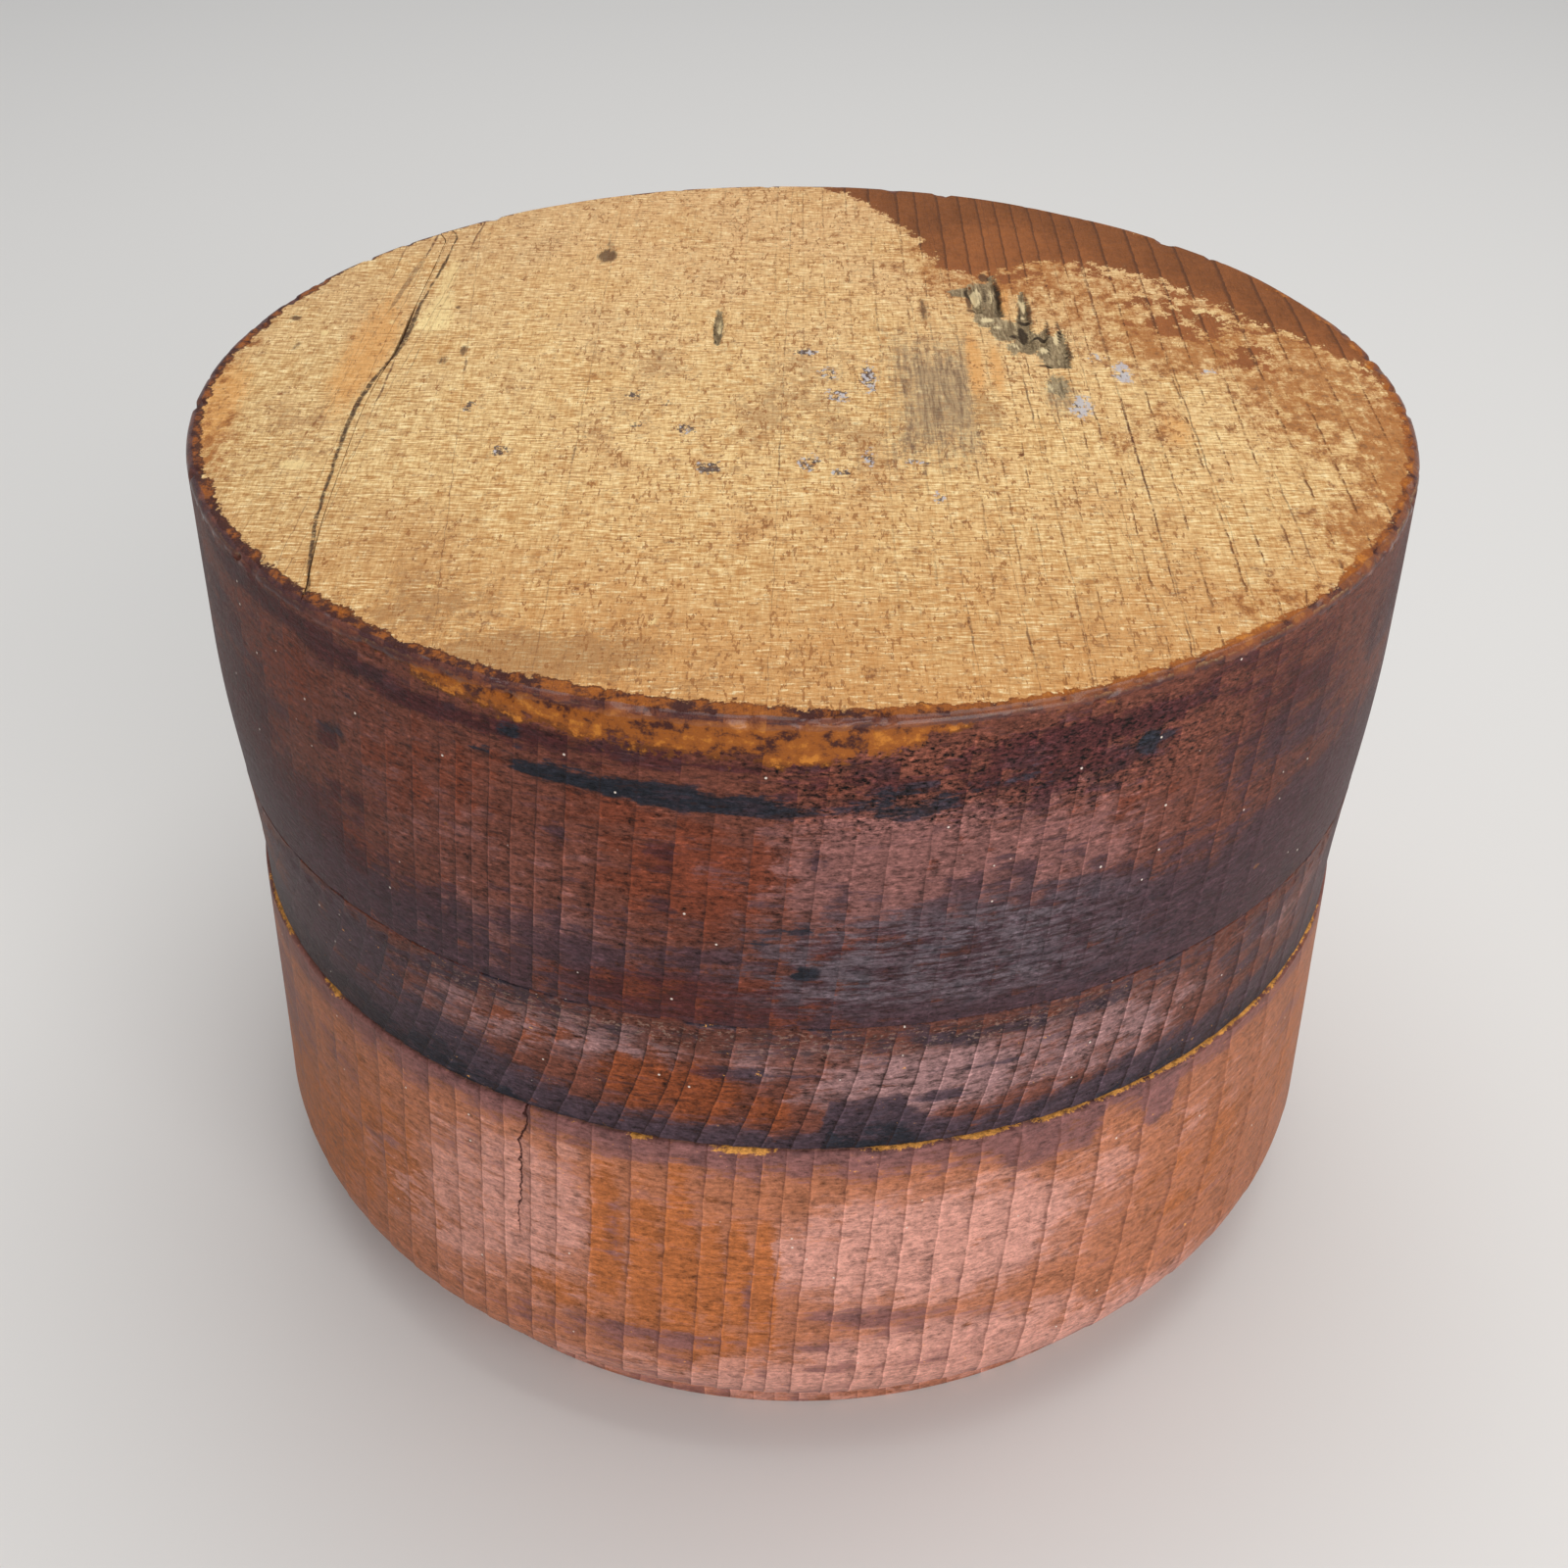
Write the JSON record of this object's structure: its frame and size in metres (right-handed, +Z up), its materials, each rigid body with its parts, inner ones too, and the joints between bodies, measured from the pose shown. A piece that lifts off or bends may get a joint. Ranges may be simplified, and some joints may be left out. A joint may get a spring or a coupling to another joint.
{
  "type": "round lidded box",
  "caption": "Round turned wooden box with a deep lift-off lid, a bowl-shaped base with a rounded bottom edge, a rim collar that locates the lid and a thin foot disc.",
  "frame": {"origin": "centre of the flat underside, where the box stands", "axes": "+Z up along the turning axis towards the lid's flat top; the glue line of the lid's narrow board is a plane square to X on the -X side, and -Y is the front in the picture"},
  "size_m": [0.18, 0.18, 0.1343],
  "materials": {
    "dark_varnished_wood": "old dark red-brown varnish with purple-black bands, satin and worn, the flat top bare and golden tan",
    "brown_varnished_wood": "lighter orange-brown varnish over raised growth rings, satin",
    "bare_wood": "bare turned softwood, matte"
  },
  "bodies": {
    "base": {"base_bowl": "brown_varnished_wood", "base_collar": "bare_wood", "foot_disc": "brown_varnished_wood"},
    "lid": {"lid_main_board": "dark_varnished_wood", "lid_narrow_board": "dark_varnished_wood", "lid_lower_ring": "dark_varnished_wood"}
  },
  "joints": [
    {"name": "lid_lift", "type": "slide", "parent": "base", "child": "lid", "axis": [0, 0, 1], "range_m": [0, 0.12]}
  ]
}
